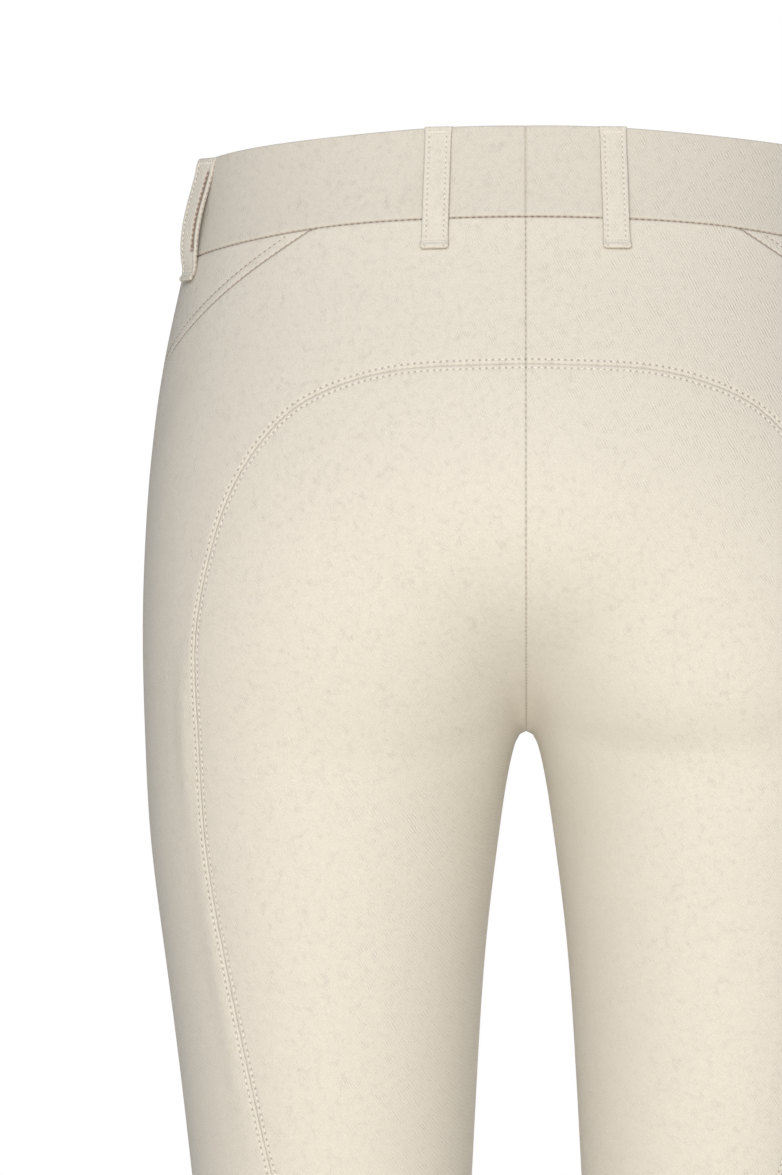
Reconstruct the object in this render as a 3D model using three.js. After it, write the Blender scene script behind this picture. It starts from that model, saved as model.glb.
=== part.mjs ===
// Women's riding breeches, filled out as they are worn: two fronts, two backs, a full seat in two halves, a
// shaped waistband with belt loops, a closed fly and knit cuffs. Millimetres, +Z up. The front faces -Y, the
// wearer's left is +X, and the origin is the centre of the waist at the middle of the waistband's height.
//
// The garment's outer face is one level surface, drafted from a table of cross sections. Every piece is a
// wall between two of its seams: a row of points runs across the piece at each station along the seams, and
// neighbours share their seam's stations, so they meet all along it.
import * as THREE from "three";
import { mergeVertices } from "three/addons/utils/BufferGeometryUtils.js";

// Driving sizes
const CLOTH = 1.2; // wall of the stretch twill with its seam allowances
const BAND_WALL = 2.0; // waistband, two layers of cloth with interlining
const CUFF_WALL = 1.4; // doubled rib knit
const LOOP_WALL = 1.5; // belt loop, folded in three
const FLY_WALL = 1.5; // zip tape and fly shield
const SEAM_GAP = 0.3; // clearance between neighbouring pieces
const BEHIND_GAP = 0.8; // clearance of the fly and button stand behind the pieces in front of them
const LOOP_WIDTH = 12;
const LOOP_TACK = 9; // sewn down length at each end of a loop
const LEAN_PIVOT = 0.35; // share of the width, back from its middle, about which a loop leans
const LOOP_CLEARANCE = 0.45; // clearance of a loop's sewn down ends over the waistband
const HEM_Z = -868; // where the cloth ends and the cuff begins
const CUFF_BOTTOM_Z = -926;
const SEAT_TIP_Z = -680; // where the full seat runs out into the inseam
const ARCH_TOP_Z = -88.3; // top of the full seat at centre back
const SHOULDER_Z = -140; // where the arch turns into the leg
const SIDE_Z = -150; // where the hip seam becomes the outseam
const FLY_BOTTOM_ROW = 5; // the fly ends at this station below the waistband
const BUTTON_RADIUS = 8;
const BUTTON_THICKNESS = 2.6;
const BUTTON_FROM_CENTRE = 14;
const BUTTON_SIDES = 20;

// Stations along each stretch of seam, and across each piece
const BAND_BACK_STEPS = 5; // waistband seam, centre back to hip seam
const BAND_FRONT_STEPS = 9; // waistband seam, hip seam to centre front
const ARCH_STEPS = 10; // full seat, centre back to the arch's shoulder
const RISE_BACK_STEPS = 14; // centre back, arch to crotch
const RISE_FRONT_STEPS = RISE_BACK_STEPS - BAND_BACK_STEPS; // centre front, waistband to crotch
const INSEAM_STEPS = 14; // crotch to the full seat's tip
const CALF_STEPS = 6; // tip to hem
const SEAT_SIDE_STEPS = RISE_BACK_STEPS + INSEAM_STEPS - ARCH_STEPS;
const HIP_STEPS = BAND_FRONT_STEPS + 5 - RISE_FRONT_STEPS; // hip seam, waistband to the side
const OUTSEAM_STEPS = RISE_FRONT_STEPS + INSEAM_STEPS - HIP_STEPS; // side to the tip's height
const BACK_COLUMNS = 8;
const SEAT_COLUMNS = 7;
const BAND_ROWS = 2;
const CUFF_COLUMNS = 24;

const CLOTH_COLOUR = "#e4dccb";
const SEAT_COLOUR = "#e7dfcd";
const KNIT_COLOUR = "#dbd3c1";
const BUTTON_COLOUR = "#cfc5b0";
const ZIP_COLOUR = "#d8d0be";

// Cross sections of the outer face. outer: half width of the hip, or distance of the leg's outside from the
// middle. centre: middle of the leg. front and back: depth. power: roundness. blend: how softly the two legs
// run together across the middle.
const LEVELS = [
  { z: 70, outer: 142.0, centre: 0, front: -84, back: 84, power: 2.15, blend: 0 },
  { z: 34, outer: 146.5, centre: 0, front: -86, back: 88, power: 2.15, blend: 0 },
  { z: 0, outer: 149.8, centre: 0, front: -90, back: 94, power: 2.15, blend: 2 },
  { z: -30, outer: 154.5, centre: 5, front: -94, back: 100, power: 2.15, blend: 10 },
  { z: -70, outer: 162.8, centre: 20, front: -97, back: 108, power: 2.15, blend: 36 },
  { z: -115, outer: 169.2, centre: 38, front: -97, back: 117, power: 2.15, blend: 66 },
  { z: -160, outer: 172.4, centre: 56, front: -95, back: 121, power: 2.15, blend: 80 },
  { z: -200, outer: 173.5, centre: 73, front: -92, back: 116, power: 2.12, blend: 54 },
  { z: -230, outer: 173.2, centre: 85.2, front: -91, back: 106, power: 2.1, blend: 20 },
  { z: -252, outer: 172.6, centre: 89.1, front: -91, back: 98, power: 2.08, blend: 10 },
  { z: -290, outer: 170.6, centre: 91.4, front: -90, back: 91, power: 2.05, blend: 10 },
  { z: -340, outer: 164.6, centre: 91.4, front: -87, back: 86, power: 2.0, blend: 10 },
  { z: -390, outer: 158.0, centre: 89.9, front: -83, back: 80, power: 2.0, blend: 10 },
  { z: -450, outer: 151.0, centre: 88.0, front: -77, back: 72, power: 2.0, blend: 10 },
  { z: -510, outer: 144.8, centre: 86.4, front: -70, back: 63, power: 2.0, blend: 10 },
  { z: -570, outer: 140.0, centre: 85.0, front: -64, back: 56, power: 2.0, blend: 10 },
  { z: -630, outer: 137.5, centre: 83.8, front: -58, back: 58, power: 2.0, blend: 10 },
  { z: -690, outer: 137.0, centre: 82.6, front: -50, back: 64, power: 2.0, blend: 10 },
  { z: -750, outer: 131.5, centre: 81.2, front: -43, back: 62, power: 2.0, blend: 10 },
  { z: -810, outer: 122.5, centre: 80.2, front: -37, back: 52, power: 2.0, blend: 10 },
  { z: -870, outer: 115.0, centre: 79.8, front: -33, back: 42, power: 2.0, blend: 10 },
  { z: -930, outer: 111.0, centre: 79.6, front: -31, back: 36, power: 2.0, blend: 10 },
];

// The waistband's edges. angle: degrees round the waist, 0 at the back, 90 at the side, 180 at the front.
const BAND = [
  { angle: -25, top: 19.9, seam: -22.0 },
  { angle: 0, top: 20.5, seam: -21.3 },
  { angle: 25, top: 19.9, seam: -22.0 },
  { angle: 50, top: 17.0, seam: -24.8 },
  { angle: 65, top: 14.9, seam: -28.8 },
  { angle: 80, top: 12.4, seam: -32.6 },
  { angle: 110, top: 8.0, seam: -36.8 },
  { angle: 145, top: 3.6, seam: -40.2 },
  { angle: 180, top: 2.0, seam: -41.5 },
  { angle: 215, top: 3.6, seam: -40.2 },
];

// Seams that cross the level surface. angle: degrees round the leg's own centre, 0 back, 90 outside.
const SEAT_SEAM = [
  { angle: -13.4, z: ARCH_TOP_Z },
  { angle: 1.1, z: -89 },
  { angle: 16.9, z: -91.4 },
  { angle: 27, z: -97 },
  { angle: 35, z: -106 },
  { angle: 40.5, z: -121 },
  { angle: 44, z: SHOULDER_Z },
  { angle: 45.4, z: -174 },
  { angle: 44.4, z: -204 },
  { angle: 40.8, z: -229 },
  { angle: 38.4, z: -262 },
  { angle: 36.9, z: -300 },
  { angle: 32.4, z: -348 },
  { angle: 26.5, z: -399 },
  { angle: 20.2, z: -445 },
  { angle: 8, z: -500 },
  { angle: -8, z: -550 },
  { angle: -30, z: -600 },
  { angle: -58, z: -645 },
  { angle: -90, z: SEAT_TIP_Z },
];
const HIP_SEAM = [
  { angle: 49, z: -24.6 },
  { angle: 57, z: -38 },
  { angle: 65, z: -52.5 },
  { angle: 73.4, z: -67.5 },
  { angle: 82, z: -80 },
  { angle: 90, z: -93 },
  { angle: 97, z: -110 },
  { angle: 102, z: -130 },
  { angle: 104, z: -160 },
  { angle: 104, z: -220 },
  { angle: 103, z: -300 },
  { angle: 101, z: -450 },
  { angle: 99, z: SEAT_TIP_Z },
  { angle: 97, z: HEM_Z },
];

// Belt loops: where they are sewn, how far they reach below the waistband, how far the middle stands off it,
// and how much further the edge nearer the front stands off.
const LOOPS = [
  { name: "back", topAngle: 24.2, footAngle: 18.8, below: 14.5, bow: 1.2, lean: 0 },
  { name: "side", topAngle: 78.0, footAngle: 78.0, below: 11.5, bow: 3.0, lean: 2.4 },
  { name: "front", topAngle: 138.0, footAngle: 138.5, below: 14.0, bow: 1.6, lean: 0 },
];

const DEGREE = Math.PI / 180;
const UP = new THREE.Vector3(0, 0, 1);
const MM_PER_DEGREE = 1.5; // weight of turning against height in the spacing of a seam table's rows
const FAR = 260; // further than any point of a section from its centre
const HALVINGS = 44;

// A smooth curve through the values of a table's column, with no bend at its ends.
function spline(xs, ys) {
  const last = xs.length - 1;
  const bend = new Array(last + 1).fill(0);
  const carry = new Array(last + 1).fill(0);
  for (let i = 1; i < last; i++) {
    const before = xs[i] - xs[i - 1];
    const after = xs[i + 1] - xs[i];
    const turn = (ys[i + 1] - ys[i]) / after - (ys[i] - ys[i - 1]) / before;
    const pivot = 2 * (before + after) - before * carry[i - 1];
    carry[i] = after / pivot;
    bend[i] = (6 * turn - before * bend[i - 1]) / pivot;
  }
  for (let i = last - 1; i > 0; i--) bend[i] -= carry[i] * bend[i + 1];
  return (x) => {
    let i = 0;
    while (i < last - 1 && x > xs[i + 1]) i++;
    const step = xs[i + 1] - xs[i];
    const a = (xs[i + 1] - x) / step;
    const b = 1 - a;
    const curved = (a ** 3 - a) * bend[i] + (b ** 3 - b) * bend[i + 1];
    return a * ys[i] + b * ys[i + 1] + (curved * step * step) / 6;
  };
}

const column = (rows, key) => rows.map((row) => row[key]);
const levelsUp = [...LEVELS].reverse();
const levelCurves = {};
for (const key of ["outer", "centre", "front", "back", "power", "blend"]) {
  levelCurves[key] = spline(column(levelsUp, "z"), column(levelsUp, key));
}
const bandTop = spline(column(BAND, "angle"), column(BAND, "top"));
const bandSeam = spline(column(BAND, "angle"), column(BAND, "seam"));

function section(z) {
  const found = {};
  for (const key in levelCurves) found[key] = levelCurves[key](z);
  found.middle = (found.front + found.back) / 2;
  return found;
}

// Distance from one leg's section, less than nothing inside it.
function fromLeg(x, y, s) {
  const across = (x - s.centre) / (s.outer - s.centre);
  const along = (y - s.middle) / ((s.back - s.front) / 2);
  const ratio = (Math.abs(across) ** s.power + Math.abs(along) ** s.power) ** (1 / s.power);
  return Math.hypot(x - s.centre, y - s.middle) * (1 - 1 / Math.max(ratio, 1e-6));
}

// Distance from the garment's outer face: both legs, blended across the middle.
function field(x, y, s) {
  const near = fromLeg(x, y, s);
  const other = fromLeg(-x, y, s);
  const reach = Math.max(s.blend, 1e-6);
  const overlap = Math.max(reach - Math.abs(near - other), 0) / reach;
  return Math.min(near, other) - (overlap * overlap * reach) / 4;
}

// How far out the face lies on a line that starts inside it and goes no further than a limit.
function reachOf(insideAt, limit = FAR) {
  let low = 0;
  let high = limit;
  for (let i = 0; i < HALVINGS; i++) {
    const half = (low + high) / 2;
    if (insideAt(half)) low = half;
    else high = half;
  }
  return low;
}

// The point of the face at an angle round the leg's centre, on the leg's own side of the middle.
function onRay(angle, z) {
  const s = section(z);
  const sin = Math.sin(angle * DEGREE);
  const cos = Math.cos(angle * DEGREE);
  const limit = sin < 0 ? Math.min(FAR, s.centre / -sin) : FAR;
  const reach = reachOf((r) => field(s.centre + r * sin, s.middle + r * cos, s) < 0, limit);
  return new THREE.Vector3(s.centre + reach * sin, s.middle + reach * cos, z);
}

// The point of the centre back (side 1) or centre front (side -1) at a height.
function onMiddle(z, side) {
  const s = section(z);
  const reach = reachOf((r) => field(0, s.middle + side * r, s) < 0);
  return new THREE.Vector3(0, s.middle + side * reach, z);
}

// The point of the rise at an angle under the waist: 0 centre back, 90 crotch, 180 centre front.
const RISE_Y = 4.6;
const RISE_Z = bandSeam(180);
function onRise(angle) {
  const down = Math.sin(angle * DEGREE);
  const back = Math.cos(angle * DEGREE);
  const reach = reachOf((r) => field(0, RISE_Y + r * back, section(RISE_Z - r * down)) < 0);
  return new THREE.Vector3(0, RISE_Y + reach * back, RISE_Z - reach * down);
}

function angleOf(point, side) {
  const s = section(point.z);
  const angle = Math.atan2(point.x - s.centre, point.y - s.middle) / DEGREE;
  return side < 0 && angle < 0 ? angle + 360 : angle;
}

function outward(point) {
  const step = 0.05;
  const here = (x, y, z) => field(x, y, section(z));
  const { x, y, z } = point;
  return new THREE.Vector3(
    here(x + step, y, z) - here(x - step, y, z),
    here(x, y + step, z) - here(x, y - step, z),
    here(x, y, z + step) - here(x, y, z - step),
  ).normalize();
}

// Points across a piece between two seams. side: 1 for the back, -1 for the front.
function acrossPiece(from, to, columns, side) {
  const a = angleOf(from, side);
  const b = angleOf(to, side);
  const row = [from];
  for (let i = 1; i < columns; i++) {
    const t = i / columns;
    const z = THREE.MathUtils.lerp(from.z, to.z, t);
    const onCentre = from.x === 0 && to.x === 0;
    row.push(onCentre ? onMiddle(z, side) : onRay(THREE.MathUtils.lerp(a, b, t), z));
  }
  row.push(to);
  return row;
}

// A seam drawn through a table of angles and heights.
function seamCurve(rows) {
  const alongAt = [0];
  for (let i = 1; i < rows.length; i++) {
    const round = (rows[i].angle - rows[i - 1].angle) * MM_PER_DEGREE;
    alongAt.push(alongAt[i - 1] + Math.hypot(round, rows[i].z - rows[i - 1].z));
  }
  const angle = spline(alongAt, column(rows, "angle"));
  const height = spline(alongAt, column(rows, "z"));
  const length = alongAt.at(-1);
  return {
    point: (along) => onRay(angle(along), height(along)),
    length,
    atHeight(z) {
      let low = 0;
      let high = length;
      for (let i = 0; i < HALVINGS; i++) {
        const half = (low + high) / 2;
        if (height(half) > z) low = half;
        else high = half;
      }
      return low;
    },
  };
}

// Evenly spaced values, both ends included.
function spaced(from, to, steps) {
  return Array.from({ length: steps + 1 }, (_, i) => THREE.MathUtils.lerp(from, to, i / steps));
}

// One list of stations from stretches that share their end points.
function joined(...stretches) {
  return stretches.flatMap((stretch, i) => (i ? stretch.slice(1) : stretch));
}

// Seams of the wearer's left half
function draftSeams() {
  const hip = seamCurve(HIP_SEAM);
  const seat = seamCurve(SEAT_SEAM);
  const hipTop = hip.point(0);
  const onBand = (angle) => onRay(angle, bandSeam(angle));
  const bandBack = spaced(0, HIP_SEAM[0].angle, BAND_BACK_STEPS).map(onBand);
  bandBack[0] = onMiddle(bandSeam(0), 1);
  bandBack[BAND_BACK_STEPS] = hipTop;
  const bandFront = spaced(HIP_SEAM[0].angle, 180, BAND_FRONT_STEPS).map(onBand);
  bandFront[0] = hipTop;
  bandFront[BAND_FRONT_STEPS] = onMiddle(bandSeam(180), -1);

  const archTop = onMiddle(ARCH_TOP_Z, 1);
  const archAngle = Math.atan2(RISE_Z - archTop.z, archTop.y - RISE_Y) / DEGREE;
  const riseBack = spaced(archAngle, 90, RISE_BACK_STEPS).map(onRise);
  riseBack[0] = archTop;
  const riseFront = spaced(180, 90, RISE_FRONT_STEPS).map(onRise);
  riseFront[0] = bandFront[BAND_FRONT_STEPS];
  const crotch = riseBack[RISE_BACK_STEPS];
  riseFront[RISE_FRONT_STEPS] = crotch;

  const inseamAt = (z) => onRay(-90, z);
  const inseam = spaced(crotch.z, SEAT_TIP_Z, INSEAM_STEPS).map(inseamAt);
  inseam[0] = crotch;
  const calf = spaced(SEAT_TIP_Z, HEM_Z, CALF_STEPS).map(inseamAt);
  calf[0] = inseam[INSEAM_STEPS];

  const arch = spaced(0, seat.atHeight(SHOULDER_Z), ARCH_STEPS).map(seat.point);
  arch[0] = archTop;
  const seatSide = spaced(SHOULDER_Z, SEAT_TIP_Z, SEAT_SIDE_STEPS).map((z) => seat.point(seat.atHeight(z)));
  seatSide[0] = arch[ARCH_STEPS];
  seatSide[SEAT_SIDE_STEPS] = inseam[INSEAM_STEPS];

  const hipCurve = spaced(0, hip.atHeight(SIDE_Z), HIP_STEPS).map(hip.point);
  const outseam = spaced(SIDE_Z, SEAT_TIP_Z, OUTSEAM_STEPS).map((z) => hip.point(hip.atHeight(z)));
  const outCalf = spaced(SEAT_TIP_Z, HEM_Z, CALF_STEPS).map((z) => hip.point(hip.atHeight(z)));
  return {
    bandBack,
    bandFront,
    riseBack,
    riseFront,
    inseam,
    calf,
    seat: joined(arch, seatSide),
    side: joined(hipCurve, outseam, outCalf),
  };
}

// The rim of a grid of points, in order, with repeated points passed over.
function rimOf(rows) {
  const last = rows.length - 1;
  const width = rows[0].length - 1;
  const rim = [];
  const add = (i, j) => {
    const point = rows[i][j];
    if (!rim.length || rim.at(-1).distanceTo(point) > 1e-6) rim.push(point);
  };
  for (let j = 0; j <= width; j++) add(0, j);
  for (let i = 1; i <= last; i++) add(i, width);
  for (let j = width - 1; j >= 0; j--) add(last, j);
  for (let i = last - 1; i > 0; i--) add(i, 0);
  if (rim.at(-1).distanceTo(rim[0]) < 1e-6) rim.pop();
  return rim;
}

// Moves a rim's points into the piece by half a seam gap, square to both edges that meet there.
function drawnIn(rim) {
  const middle = rim.reduce((sum, p) => sum.add(p), new THREE.Vector3()).divideScalar(rim.length);
  const moved = new Map();
  let sign = 0;
  rim.forEach((point, i) => {
    const before = rim[(i + rim.length - 1) % rim.length];
    const turn = before.clone().sub(middle).cross(point.clone().sub(middle));
    sign += outward(point).dot(turn);
  });
  rim.forEach((point, i) => {
    const before = rim[(i + rim.length - 1) % rim.length];
    const after = rim[(i + 1) % rim.length];
    const normal = outward(point);
    const inFrom = (a, b) => new THREE.Vector3().crossVectors(normal, b.clone().sub(a)).normalize();
    const first = inFrom(before, point);
    const second = inFrom(point, after);
    const mitre = (SEAM_GAP / 2) / (1 + first.dot(second));
    moved.set(point, point.clone().addScaledVector(first.add(second), Math.sign(sign) * mitre));
  });
  return moved;
}

// A closed wall from rows of outer points and rows of inner points. ring: the rows close on themselves. Each
// four-sided patch is folded along its shorter diagonal.
function wallGeometry(outer, inner, ring = false) {
  const points = [];
  const width = outer[0].length;
  for (const grid of [outer, inner]) for (const row of grid) for (const p of row) points.push(p.x, p.y, p.z);
  const at = (layer, i, j) => layer * outer.length * width + i * width + (j % width);
  const faces = [];
  const quad = (a, b, c, d, turned = false) => {
    if (turned) faces.push(a, b, d, b, c, d);
    else faces.push(a, b, c, a, c, d);
  };
  const last = outer.length - 1;
  const across = ring ? width : width - 1;
  for (let i = 0; i < last; i++) {
    for (let j = 0; j < across; j++) {
      const next = (j + 1) % width;
      const turned = outer[i][j].distanceTo(outer[i + 1][next]) > outer[i][next].distanceTo(outer[i + 1][j]);
      quad(at(0, i, j), at(0, i, j + 1), at(0, i + 1, j + 1), at(0, i + 1, j), turned);
      quad(at(1, i, j), at(1, i + 1, j), at(1, i + 1, j + 1), at(1, i, j + 1), turned);
    }
  }
  for (let j = 0; j < across; j++) {
    quad(at(0, 0, j), at(1, 0, j), at(1, 0, j + 1), at(0, 0, j + 1));
    quad(at(0, last, j), at(0, last, j + 1), at(1, last, j + 1), at(1, last, j));
  }
  for (let i = 0; i < last && !ring; i++) {
    quad(at(0, i, 0), at(0, i + 1, 0), at(1, i + 1, 0), at(1, i, 0));
    quad(at(0, i, across), at(1, i, across), at(1, i + 1, across), at(0, i + 1, across));
  }
  const geometry = new THREE.BufferGeometry();
  geometry.setAttribute("position", new THREE.Float32BufferAttribute(points, 3));
  geometry.setIndex(faces);
  return facingOut(withoutEmptyFaces(mergeVertices(geometry, 1e-3)));
}

// Faces whose corners fell together are left out.
function withoutEmptyFaces(geometry) {
  const kept = [];
  const index = geometry.index.array;
  for (let i = 0; i < index.length; i += 3) {
    const [a, b, c] = index.slice(i, i + 3);
    if (a !== b && b !== c && c !== a) kept.push(a, b, c);
  }
  geometry.setIndex(kept);
  return geometry;
}

// Turns the faces round where the solid came out inside out.
function facingOut(geometry) {
  const index = geometry.index.array;
  const position = geometry.getAttribute("position");
  const [a, b, c] = [new THREE.Vector3(), new THREE.Vector3(), new THREE.Vector3()];
  let volume = 0;
  for (let i = 0; i < index.length; i += 3) {
    a.fromBufferAttribute(position, index[i]);
    b.fromBufferAttribute(position, index[i + 1]);
    c.fromBufferAttribute(position, index[i + 2]);
    volume += a.dot(b.cross(c));
  }
  if (volume < 0) index.reverse();
  return geometry;
}

const mirrored = (rows) => rows.map((row) => row.map((p) => new THREE.Vector3(-p.x, p.y, p.z)));

// A sewn piece: its rows of points as a wall that lies under the outer face. depth: how far under it starts.
function sewnWall(rows, wall, depth = 0) {
  const moved = drawnIn(rimOf(rows));
  const shift = (row, amount) =>
    row.map((p) => {
      const rimPoint = [...moved.keys()].find((q) => q.distanceTo(p) < 1e-6);
      return (rimPoint ? moved.get(rimPoint) : p).clone().addScaledVector(outward(p), -amount);
    });
  return [rows.map((row) => shift(row, depth)), rows.map((row) => shift(row, depth + wall))];
}

const breeches = new THREE.Group();

function addPiece(name, geometry, colour, roughness, metalness = 0) {
  const material = new THREE.MeshStandardMaterial({ color: colour, roughness, metalness });
  const mesh = new THREE.Mesh(geometry, material);
  mesh.name = name;
  breeches.add(mesh);
}

// A piece for each side of the body, cut as a mirrored pair.
function addPair(name, rows, wall, colour, depth = 0) {
  const [outer, inner] = sewnWall(rows, wall, depth);
  addPiece(name + "_left", wallGeometry(outer, inner), colour, 0.85);
  addPiece(name + "_right", wallGeometry(mirrored(outer), mirrored(inner)), colour, 0.85);
}

const seams = draftSeams();

// Backs: from the waistband and outseam to the full seat's seam, and to the inseam below its tip.
function backRows() {
  const outer = joined(seams.bandBack, seams.side);
  const inner = joined(seams.seat, seams.calf);
  return outer.map((point, i) => acrossPiece(point, inner[i], BACK_COLUMNS, 1));
}

// Full seat: from its arched seam to the centre back, the crotch and the inseam.
function seatRows() {
  const inner = joined(seams.riseBack, seams.inseam);
  return seams.seat.map((point, i) => acrossPiece(point, inner[i], SEAT_COLUMNS, 1));
}

// Fronts: from the hip seam and outseam to the centre front, the crotch and the inseam.
function frontRows() {
  const inner = joined(seams.riseFront, seams.inseam, seams.calf);
  const rows = seams.side.map((point, i) => acrossPiece(point, inner[i], BAND_FRONT_STEPS, -1));
  rows[0] = seams.bandFront;
  return rows;
}

// Waistband: from its seam to its top edge, which stands at the same angles.
function bandRows() {
  const seamPoints = joined(seams.bandBack, seams.bandFront);
  const angles = joined(
    spaced(0, HIP_SEAM[0].angle, BAND_BACK_STEPS),
    spaced(HIP_SEAM[0].angle, 180, BAND_FRONT_STEPS),
  );
  return seamPoints.map((point, i) => {
    const atEnd = i === 0 || i === seamPoints.length - 1;
    const side = i === 0 ? 1 : -1;
    const topZ = bandTop(angles[i]);
    const top = atEnd ? onMiddle(topZ, side) : onRay(angles[i], topZ);
    return acrossPiece(point, top, BAND_ROWS, i < seamPoints.length / 2 ? 1 : -1);
  });
}

const fronts = frontRows();
const band = bandRows();
addPair("back", backRows(), CLOTH, CLOTH_COLOUR);
addPair("seat", seatRows(), CLOTH, SEAT_COLOUR);
addPair("front", fronts, CLOTH, CLOTH_COLOUR);
addPair("waistband", band, BAND_WALL, CLOTH_COLOUR);

// A strip behind the centre front, from the two pieces' own points on each side of it, moved in.
function centreStrip(name, leftRows, wall, depth, colour) {
  const rows = leftRows.map((row) => {
    const [beside, centre] = row;
    return [beside, centre, new THREE.Vector3(-beside.x, beside.y, beside.z)];
  });
  const [outer, inner] = sewnWall(rows, wall, depth);
  addPiece(name, wallGeometry(outer, inner), colour, 0.8);
}

// Closed fly: the zip and its shield behind the fronts.
const flyRows = fronts.slice(0, FLY_BOTTOM_ROW + 1).map((row) => row.slice(-2));
centreStrip("fly_zip", flyRows, FLY_WALL, CLOTH + BEHIND_GAP, ZIP_COLOUR);

// Button stand: the tab behind the waistband's meeting ends, which carries the button.
const standRows = band.at(-2).map((beside, i) => [beside, band.at(-1)[i]]);
centreStrip("button_stand", standRows, BAND_WALL, BAND_WALL + BEHIND_GAP, CLOTH_COLOUR);

// Waist button: a domed disc on the end of the waistband that lies on top, the wearer's right.
function addButton() {
  const height = (bandTop(180) + bandSeam(180)) / 2;
  const s = section(height);
  const seat = onRay(180 - BUTTON_FROM_CENTRE / (s.middle - s.front) / DEGREE, height);
  seat.x = -seat.x;
  const normal = outward(seat);
  const rim = BUTTON_THICKNESS / 3;
  const profile = [
    [0, 0],
    [BUTTON_RADIUS - rim, 0],
    [BUTTON_RADIUS, rim],
    [BUTTON_RADIUS, BUTTON_THICKNESS - rim],
    [BUTTON_RADIUS - rim, BUTTON_THICKNESS],
    [0, BUTTON_THICKNESS],
  ].map(([radius, up]) => new THREE.Vector2(radius, up));
  const geometry = new THREE.LatheGeometry(profile, BUTTON_SIDES);
  geometry.deleteAttribute("normal");
  geometry.deleteAttribute("uv");
  geometry.applyQuaternion(new THREE.Quaternion().setFromUnitVectors(new THREE.Vector3(0, 1, 0), normal));
  const foot = seat.clone().addScaledVector(normal, SEAM_GAP * 2);
  geometry.translate(foot.x, foot.y, foot.z);
  const solid = facingOut(withoutEmptyFaces(mergeVertices(geometry, 1e-3)));
  addPiece("waist_button", solid, BUTTON_COLOUR, 0.45);
}
addButton();

// Cuffs: a ring of rib knit below each leg.
function addCuffs() {
  const angles = Array.from({ length: CUFF_COLUMNS }, (_, i) => (i * 360) / CUFF_COLUMNS);
  const heights = spaced(HEM_Z - SEAM_GAP / 2, CUFF_BOTTOM_Z, 3);
  const outer = heights.map((z) => angles.map((angle) => onRay(angle, z)));
  const within = (p) => p.clone().addScaledVector(outward(p).setZ(0).normalize(), -CUFF_WALL);
  const inner = outer.map((row) => row.map(within));
  addPiece("cuff_left", wallGeometry(outer, inner, true), KNIT_COLOUR, 0.9);
  addPiece("cuff_right", wallGeometry(mirrored(outer), mirrored(inner), true), KNIT_COLOUR, 0.9);
}
addCuffs();

// Puts a point that was moved along the face back on it.
function settled(point) {
  const s = section(point.z);
  const angle = Math.atan2(point.x - s.centre, point.y - s.middle) / DEGREE;
  return onRay(angle, point.z);
}

// Belt loops: strips from the waistband's top edge to below its seam, sewn at both ends and free between.
function addLoop({ name, topAngle, footAngle, below, bow, lean }) {
  const top = bandTop(topAngle);
  const foot = bandSeam(footAngle) - below;
  const length = top - foot;
  const distances = [0, LOOP_TACK / 2, LOOP_TACK, 0.3 * length, 0.42 * length, 0.54 * length, 0.66 * length];
  distances.push(length - LOOP_TACK, length - LOOP_TACK / 2, length);
  const free = (down) => THREE.MathUtils.clamp((down - LOOP_TACK) / (length - 2 * LOOP_TACK), 0, 1);
  const lift = (down) => LOOP_CLEARANCE + bow * Math.sin(Math.PI * free(down)) ** 1.5;
  const layer = (raise) =>
    distances.map((down) => {
      const centre = onRay(THREE.MathUtils.lerp(topAngle, footAngle, down / length), top - down);
      const sideways = new THREE.Vector3().crossVectors(outward(centre), UP).normalize();
      return [-0.5, 0, 0.5].map((share) => {
        const point = settled(centre.clone().addScaledVector(sideways, share * LOOP_WIDTH));
        return point.addScaledVector(outward(centre), lift(down) + lean * (share + LEAN_PIVOT) + raise);
      });
    });
  const outer = layer(LOOP_WALL);
  const inner = layer(0);
  addPiece(`loop_${name}_left`, wallGeometry(outer, inner), CLOTH_COLOUR, 0.85);
  addPiece(`loop_${name}_right`, wallGeometry(mirrored(outer), mirrored(inner)), CLOTH_COLOUR, 0.85);
}
LOOPS.forEach(addLoop);

export default breeches;
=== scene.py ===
import math

import bmesh
import bpy
import numpy as np
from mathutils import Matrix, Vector


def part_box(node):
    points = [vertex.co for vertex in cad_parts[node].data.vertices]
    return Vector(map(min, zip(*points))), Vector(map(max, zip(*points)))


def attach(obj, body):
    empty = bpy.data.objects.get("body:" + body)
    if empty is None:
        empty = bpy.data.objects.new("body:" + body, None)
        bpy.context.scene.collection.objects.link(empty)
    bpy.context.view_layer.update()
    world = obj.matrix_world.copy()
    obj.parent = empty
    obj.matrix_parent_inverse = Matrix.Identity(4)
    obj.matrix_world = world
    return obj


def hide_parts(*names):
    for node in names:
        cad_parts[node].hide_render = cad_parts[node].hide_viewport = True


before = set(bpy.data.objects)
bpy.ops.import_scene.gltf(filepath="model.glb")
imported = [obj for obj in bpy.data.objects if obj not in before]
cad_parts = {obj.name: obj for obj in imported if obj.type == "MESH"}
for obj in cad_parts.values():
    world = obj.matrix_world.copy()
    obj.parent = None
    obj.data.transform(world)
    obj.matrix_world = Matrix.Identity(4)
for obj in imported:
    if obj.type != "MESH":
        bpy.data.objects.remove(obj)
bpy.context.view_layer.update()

# ------------------------------------
# Backs. Yoke and outer leg are cut in one from cream stretch twill. Each runs from the waistband down the
# outseam, keeps outside the full seat's arched seam, and closes all round the calf below the seat's tip.
# ------------------------------------

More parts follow.
